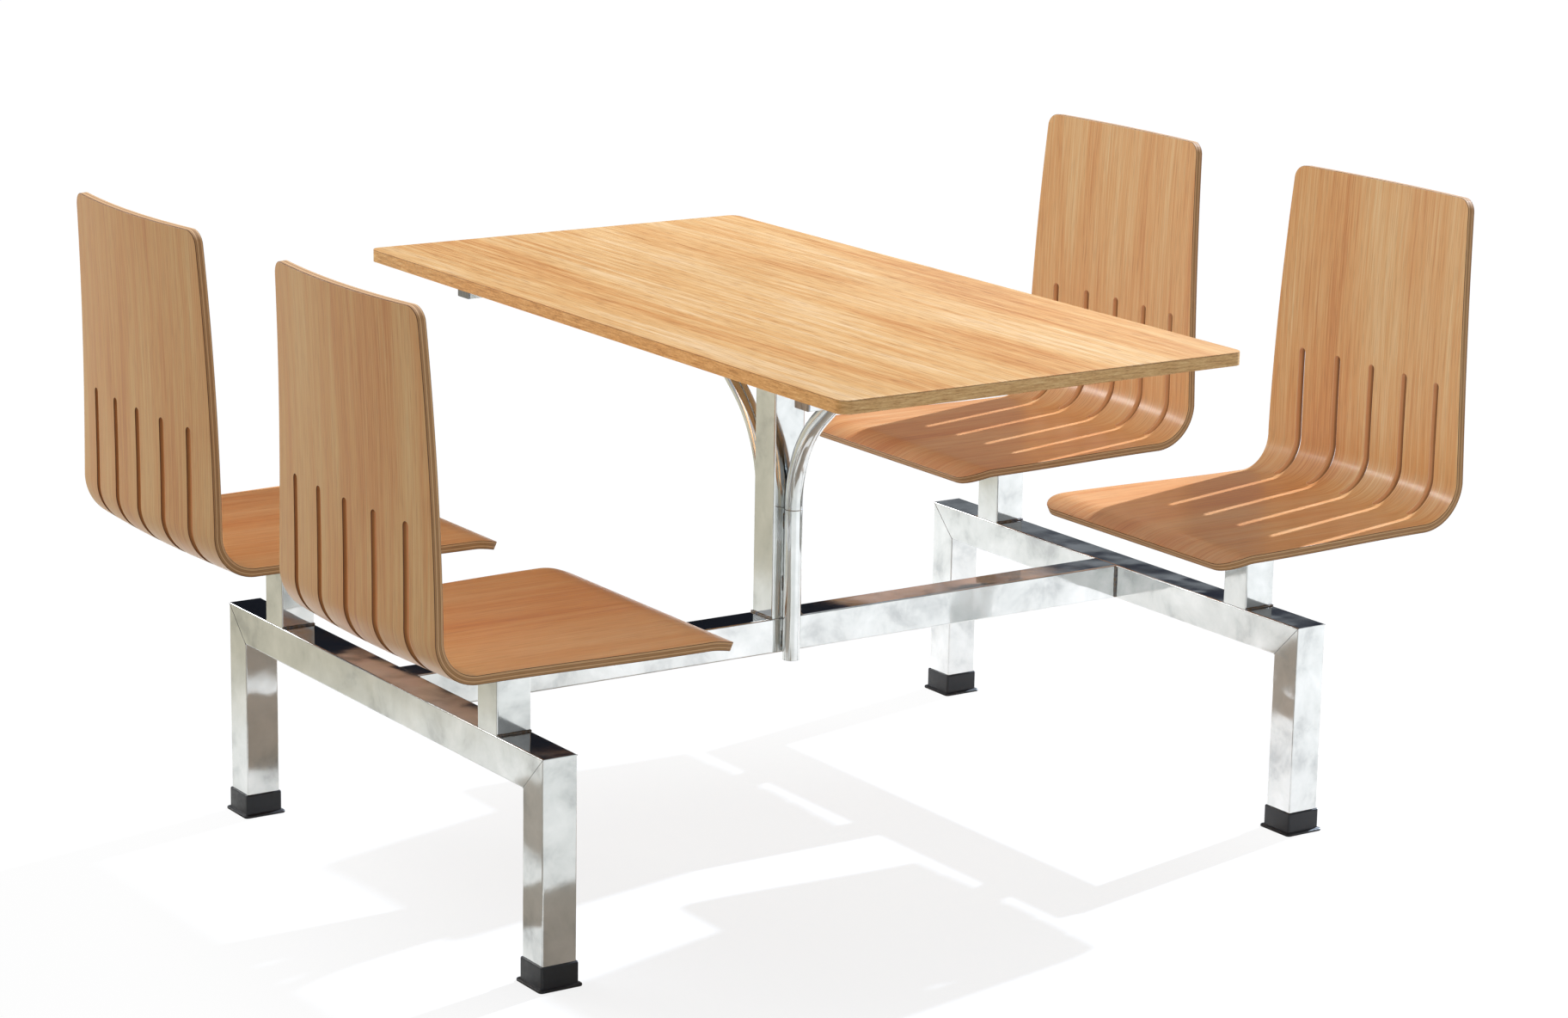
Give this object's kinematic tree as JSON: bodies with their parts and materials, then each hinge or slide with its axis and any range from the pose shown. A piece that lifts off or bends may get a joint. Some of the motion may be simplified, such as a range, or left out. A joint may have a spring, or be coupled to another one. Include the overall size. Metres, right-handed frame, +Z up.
{
  "type": "canteen table with attached swivel seats",
  "caption": "Canteen table with slotted bentwood swivel seats on posts, joined to the tabletop by one welded square-tube frame on capped legs.",
  "frame": {"origin": "on the floor, under the middle of the frame and of the tabletop", "axes": "+X across the table from the left pair of seats to the right pair, +Y along the tabletop from its front end to its rear end, +Z up"},
  "size_m": [1.7044, 1.224, 0.9029],
  "materials": {
    "polished_steel": "mirror-polished stainless tube",
    "turned_steel": "turned bright steel",
    "spring_steel": "phosphated spring steel",
    "painted_plate": "black powder coat",
    "zinc_steel": "zinc-plated",
    "brass_insert": "plain",
    "bush_plastic": "natural acetal",
    "black_plastic": "moulded, satin",
    "board": "particle board, raw",
    "edge_band": "satin lacquer",
    "wood_veneer": "satin lacquer, grain along the table",
    "wood_backing": "satin",
    "moulded_plywood": "satin lacquer, grain up the back"
  },
  "bodies": {
    "frame_and_table": {"beam_left": "polished_steel", "beam_right": "polished_steel", "bearing_housing_left_front": "polished_steel", "bearing_housing_left_rear": "polished_steel", "bearing_housing_right_front": "polished_steel", "bearing_housing_right_rear": "polished_steel", "brace_front": "polished_steel", "brace_rear": "polished_steel", "column": "polished_steel", "cross_rail_front": "polished_steel", "cross_rail_rear": "polished_steel", "foot_cap_left_front": "black_plastic", "foot_cap_left_rear": "black_plastic", "foot_cap_right_front": "black_plastic", "foot_cap_right_rear": "black_plastic", "leg_left_front": "polished_steel", "leg_left_rear": "polished_steel", "leg_right_front": "polished_steel", "leg_right_rear": "polished_steel", "long_rail": "polished_steel", "rail_end_plates": "polished_steel", "seat_post_left_front": "polished_steel", "seat_post_left_rear": "polished_steel", "seat_post_right_front": "polished_steel", "seat_post_right_rear": "polished_steel", "stretcher": "polished_steel", "swivel_bushes_left_front": "bush_plastic", "swivel_bushes_left_rear": "bush_plastic", "swivel_bushes_right_front": "bush_plastic", "swivel_bushes_right_rear": "bush_plastic", "tabletop_backing": "wood_backing", "tabletop_core": "board", "tabletop_edge_band": "edge_band", "tabletop_face_veneer": "wood_veneer", "tabletop_screws": "zinc_steel"},
    "seat_left_front": {"retaining_ring_left_front": "spring_steel", "seat_inserts_left_front": "brass_insert", "seat_plate_left_front": "painted_plate", "seat_screws_left_front": "zinc_steel", "seat_shell_left_front": "moulded_plywood", "swivel_spindle_left_front": "turned_steel"},
    "seat_left_rear": {"retaining_ring_left_rear": "spring_steel", "seat_inserts_left_rear": "brass_insert", "seat_plate_left_rear": "painted_plate", "seat_screws_left_rear": "zinc_steel", "seat_shell_left_rear": "moulded_plywood", "swivel_spindle_left_rear": "turned_steel"},
    "seat_right_front": {"retaining_ring_right_front": "spring_steel", "seat_inserts_right_front": "brass_insert", "seat_plate_right_front": "painted_plate", "seat_screws_right_front": "zinc_steel", "seat_shell_right_front": "moulded_plywood", "swivel_spindle_right_front": "turned_steel"},
    "seat_right_rear": {"retaining_ring_right_rear": "spring_steel", "seat_inserts_right_rear": "brass_insert", "seat_plate_right_rear": "painted_plate", "seat_screws_right_rear": "zinc_steel", "seat_shell_right_rear": "moulded_plywood", "swivel_spindle_right_rear": "turned_steel"}
  },
  "joints": [
    {"name": "swivel_left_front", "type": "hinge", "parent": "frame_and_table", "child": "seat_left_front", "pos_m": [-0.615, -0.298, 0.405], "axis": [0, 0, 1], "range_deg": [-90, 90]},
    {"name": "swivel_left_rear", "type": "hinge", "parent": "frame_and_table", "child": "seat_left_rear", "pos_m": [-0.615, 0.298, 0.405], "axis": [0, 0, 1], "range_deg": [-90, 90]},
    {"name": "swivel_right_front", "type": "hinge", "parent": "frame_and_table", "child": "seat_right_front", "pos_m": [0.615, -0.298, 0.405], "axis": [0, 0, 1], "range_deg": [-90, 90]},
    {"name": "swivel_right_rear", "type": "hinge", "parent": "frame_and_table", "child": "seat_right_rear", "pos_m": [0.615, 0.298, 0.405], "axis": [0, 0, 1], "range_deg": [-90, 90]}
  ]
}
